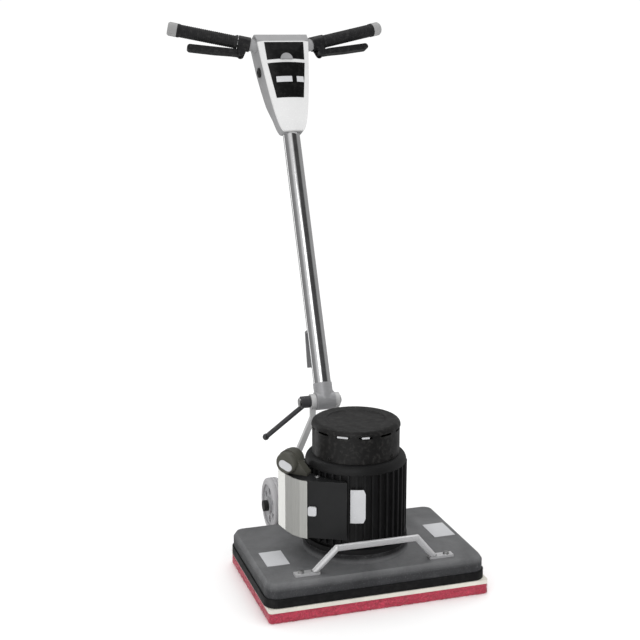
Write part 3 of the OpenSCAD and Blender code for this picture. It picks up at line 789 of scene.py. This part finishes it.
def pan_head(wide, tall):
    """Outline of a domed screw head with a round recess, in shares of its radius and height."""
    dome = [(wide * math.cos(a), tall * (0.55 + 0.40 * math.sin(a))) for a in (0.35, 0.7, 1.05)]
    recess = [(wide * 0.34, tall * 0.93), (wide * 0.26, tall * 0.6), (0, tall * 0.6)]
    return [(0, 0), (wide, 0), (wide, tall * 0.55)] + dome + recess


def pan_screws():
    """Small pan-head screws: black ones round the fan cover, a steel one on the control box."""
    bm = bmesh.new()
    for group in islands("motor_screws"):
        centre = group.mean(0)
        spread = group.max(0) - group.min(0)
        upright = spread[2] < UPRIGHT_BELOW
        outwards = Vector((centre[0], centre[1], 0)).normalized()
        axis = Vector((0, 0, 1)) if upright else outwards
        along = group @ np.array(axis)
        tall = float(along.max() - along.min())
        head = pan_head(UPRIGHT_RADIUS if upright else SIDE_RADIUS, tall)
        place = turned_about(Vector(centre) - axis * tall / 2, axis)
        known = set(bm.faces)
        lathe(bm, head, sides=28, place=place, closed=False)
        for face in bm.faces:
            if face not in known:
                face.material_index = 0 if upright else 1
    obj = add_mesh("pan_screws", bm)
    split_rims(obj, angle=45)
    finished(obj, "machine", "bolt_steel", "motor_screws")
    obj.data.materials.append(FINISH["cover_black"])


def oblong(ends, radius, steps):
    """Outline with two round ends. Each end is its centre and the angle where its arc starts."""
    found = []
    for (x, y), start in ends:
        for i in range(steps + 1):
            a = math.radians(start + 180 * i / steps)
            found.append((x + radius * math.cos(a), y + radius * math.sin(a)))
    return found


# The light plate on the capacitor's end, a painted highlight: where the can points, the plate's
# roll, its ends and its size.
CAN_TURN, PLATE_ROLL = math.radians(-43), math.radians(-24)
PLATE_ENDS = [((0.0084, -0.0030), -90), ((-0.0040, -0.0030), 90)]
PLATE_RADIUS, PLATE_SUNK, PLATE_THICK = 0.0086, 0.0008, 0.0015


def paint_can_highlight():
    """Light oblong plate let into the capacitor's front end, a painted highlight on the can's end.
    """
    middle, _, _ = bar_frame("capacitor_can")
    pts = points_of("capacitor_can")
    axis = Vector((math.sin(CAN_TURN), -math.cos(CAN_TURN), 0))
    reach = float(((pts - np.array(middle)) @ np.array(axis)).max())
    place = turned_about(middle + axis * (reach - PLATE_SUNK), axis)
    bm = bmesh.new()
    prism(bm, oblong(PLATE_ENDS, PLATE_RADIUS, 12), 0, PLATE_THICK,
          place @ Matrix.Rotation(PLATE_ROLL, 4, "Z"))
    obj = add_mesh("can_end_highlight", bm, smooth=False)
    soften(obj, 0.0004)
    finished(obj, "machine", "label_light")


# Painted highlights in the fan cover's slots, as light strips: (angle about the motor in degrees,
# half of the length).
SLOTS = [(-126.5, 0.0112), (-96.5, 0.0080)]
SLOT_OUT, SLOT_BELOW_TOP = 0.0872, 0.0136
STRIP_HALF, STRIP_THICK = 0.0019, 0.0012


def paint_slot_highlights():
    """Two light strips in the front slots of the fan cover: painted highlights where glints show
    through the slots.
    """
    _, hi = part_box("fan_cover")
    outwards = Matrix.Rotation(TAU / 4, 4, "Y")
    face = Matrix.Translation((SLOT_OUT, 0, hi[2] - SLOT_BELOW_TOP)) @ outwards
    bm = bmesh.new()
    for turn, half in SLOTS:
        straight = half - STRIP_HALF
        outline = oblong([((0, straight), 0), ((0, -straight), 180)], STRIP_HALF, 8)
        prism(bm, outline, 0, STRIP_THICK, Matrix.Rotation(math.radians(turn), 4, "Z") @ face)
    obj = add_mesh("slot_highlights", bm, smooth=False)
    finished(obj, "machine", "label_light")


# Feet of the lift handle: place beside, in front of and above the node's lowest point.
FOOT_X, FOOT_Y, FOOT_UP = 0.1215, -0.1182, 0.005
BEAD_RING = (0.0092, 0.0070)
BEAD_COUNT, BEAD_RADIUS = 22, (0.0012, 0.0016)


def weld_beads():
    """Beads where the lift handle meets its feet."""
    lo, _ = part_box("carry_handle")
    rng = random.Random(3)
    bm = bmesh.new()
    for side in (-1, 1):
        centre = Vector((side * FOOT_X, FOOT_Y, lo[2] + FOOT_UP))
        for k in range(BEAD_COUNT):
            a = TAU * k / BEAD_COUNT
            at = centre + Vector((BEAD_RING[0] * math.cos(a), BEAD_RING[1] * math.sin(a), 0))
            bmesh.ops.create_icosphere(bm, subdivisions=2, radius=rng.uniform(*BEAD_RADIUS),
                                       matrix=Matrix.Translation(at))
    finished(add_mesh("foot_welds", bm), "machine", "bolt_steel")


# ---- CAD nodes that keep their shape ----

# Width of the small round edge that each node gets.
EDGE = {
    "deck_shell": 0.0030, "deck_bumper": 0.0012, "carry_handle": 0.0008, "motor_base": 0.0008,
    "motor_frame": 0.0007, "end_bell": 0.0008, "fan_cover": 0.0008, "control_box": 0.0009,
    "box_side_cover": 0.0008, "axle_brackets": 0.0007, "yoke_leg_left": 0.0008,
    "yoke_leg_right": 0.0008, "console_front": 0.0016, "console_back": 0.0016,
    "console_bars": 0.0003, "lock_button": 0.0010, "trigger_left": 0.0018,
    "trigger_right": 0.0018, "grip_collars": 0.0007, "lower_cord_hook": 0.0010,
    "upper_cord_hook": 0.0010, "pad_holder": 0.0010, "tilt_lever": 0.0010,
    "handle_socket": 0.0006, "label_plates": 0.0002, "nameplate": 0.0002, "axle_caps": 0.0012,
    "pivot_bolt": 0.0005, "wheel_hub_left": 0.0007, "wheel_hub_right": 0.0007,
    "capacitor_strap": 0.0006, "box_latch": 0.0006, "cord_inlet": 0.0005, "inset_upper": 0.0004,
    "inset_lower": 0.0004,
}

# Nodes whose finish differs from the rest of their material slot.
RESTYLED = {"carry_handle": "chrome_satin"}


def dress_cad():
    """Gives every CAD node its finish and, where listed, round edges."""
    slots = {part["node"]: part["material_slot"] for part in frame["record"]["subparts"]}
    for name, obj in NODES.items():
        obj.data.materials.clear()
        obj.data.materials.append(FINISH[RESTYLED.get(name, slots[name])])
        if name in EDGE:
            soften(obj, EDGE[name])


make_camera()
FINISH = make_finishes()
make_floor()
make_studio()
dress_cad()
pad_web()
for hand in ("left", "right"):
    ribbed_grip(hand)
    ribbed_tyre(hand)
hex_bolts()
pan_screws()
paint_can_highlight()
paint_slot_highlights()
weld_beads()
